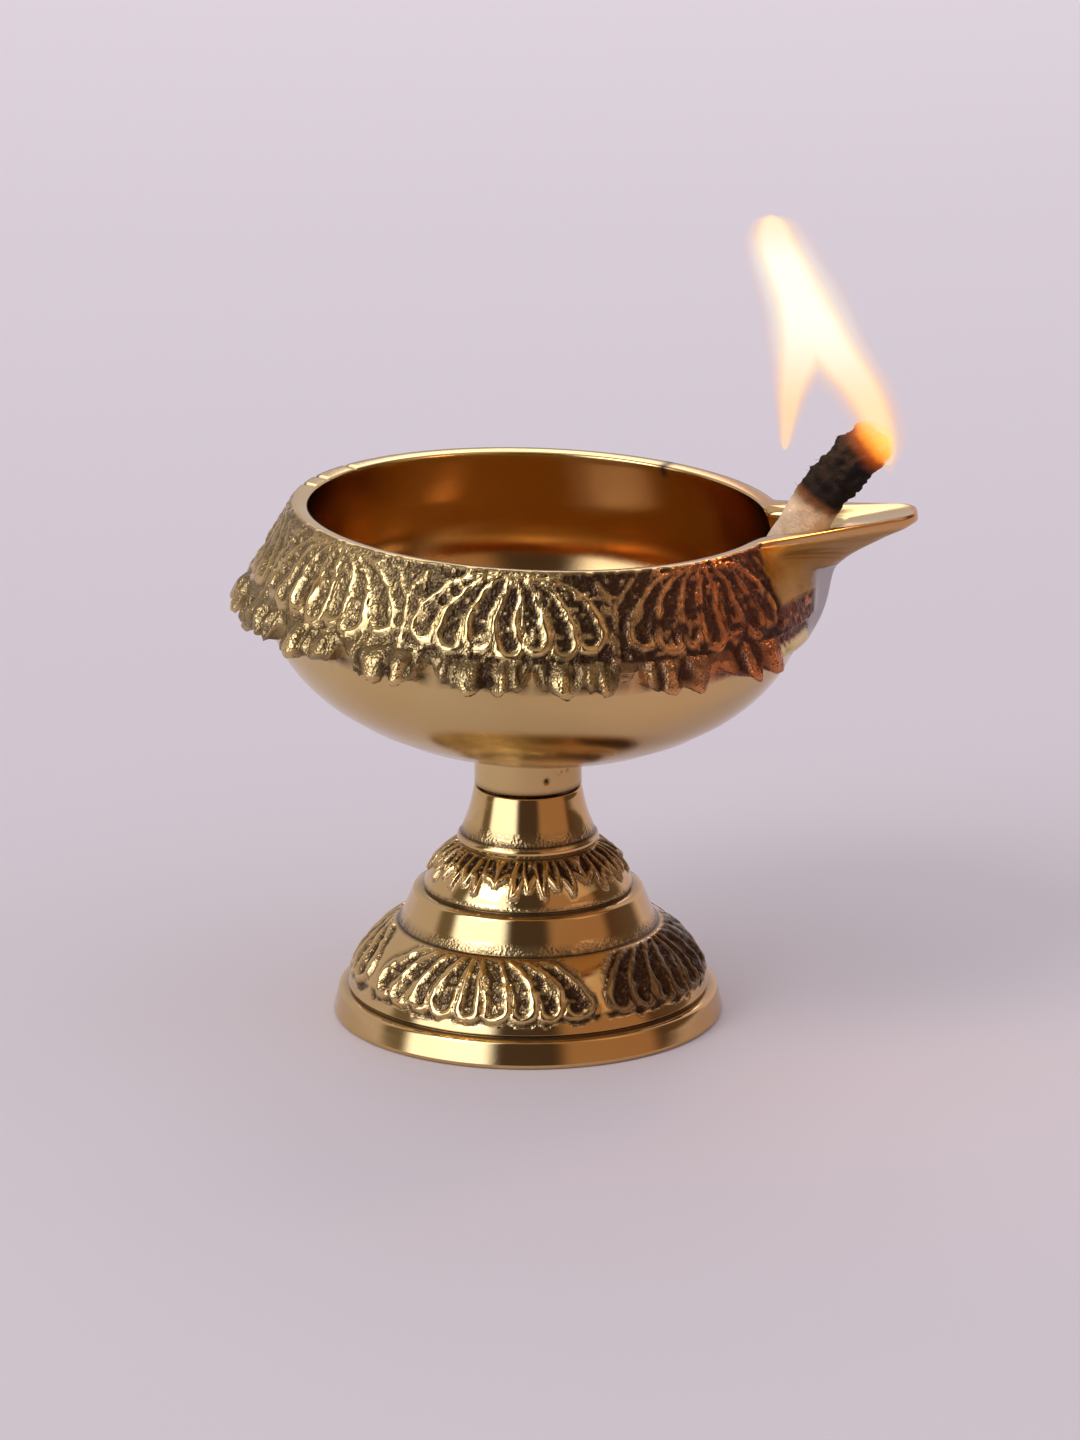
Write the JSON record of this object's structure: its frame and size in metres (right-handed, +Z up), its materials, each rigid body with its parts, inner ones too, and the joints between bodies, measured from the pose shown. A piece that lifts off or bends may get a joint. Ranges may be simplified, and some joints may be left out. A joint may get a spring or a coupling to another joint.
{
  "type": "oil lamp",
  "caption": "Footed brass diya: a petalled bowl with a frilled edge and a wick spout, screwed to a hollow stepped stand, shown lit with oil and a cotton wick.",
  "frame": {"origin": "centre of the lamp's bounding box at the level of the surface it stands on; the pedestal's own axis is 5.8 mm behind it", "axes": "+Z up, +X towards the spout and wick, +Y to the left of someone looking along +X"},
  "size_m": [0.0845, 0.0746, 0.1024],
  "materials": {
    "stand_brass": "polished turned bands, sand-cast petal relief with dark wax and patina in its recesses",
    "stud_brass": "dull cut thread",
    "collar_brass": "turned, lightly polished, with one casting pit",
    "bowl_brass": "soft polished belly, sand-cast petal relief and frill, golden brown inside",
    "lamp_oil": "clear golden oil",
    "wick_cotton": "twisted cotton soaked with oil, charred black above the spout, with a glowing end",
    "flame_light": "glowing flame, white-yellow inside and orange at its edge"
  },
  "bodies": {
    "stand": {"stand": "stand_brass"},
    "stud": {"threaded_stud": "stud_brass"},
    "bowl": {"bowl": "bowl_brass", "neck_collar": "collar_brass", "oil_fill": "lamp_oil"},
    "wick": {"wick": "wick_cotton", "flame": "flame_light"}
  },
  "joints": [
    {"name": "stud_rise", "type": "slide", "parent": "stand", "child": "stud", "axis": [0, 0, 1], "range_m": [0, 0.0067]},
    {"name": "bowl_unscrew", "type": "hinge", "parent": "stud", "child": "bowl", "pos_m": [-0.00583, 0, 0.0293], "axis": [0, 0, 1], "range_deg": [0, 1900]},
    {"name": "wick_feed", "type": "slide", "parent": "bowl", "child": "wick", "axis": [0.515, 0, 0.8572], "range_m": [0, 0.005]}
  ],
  "couplings": [
    {"joint": "stud_rise", "follows": "bowl_unscrew", "m_per_rad": 0.00019894}
  ]
}
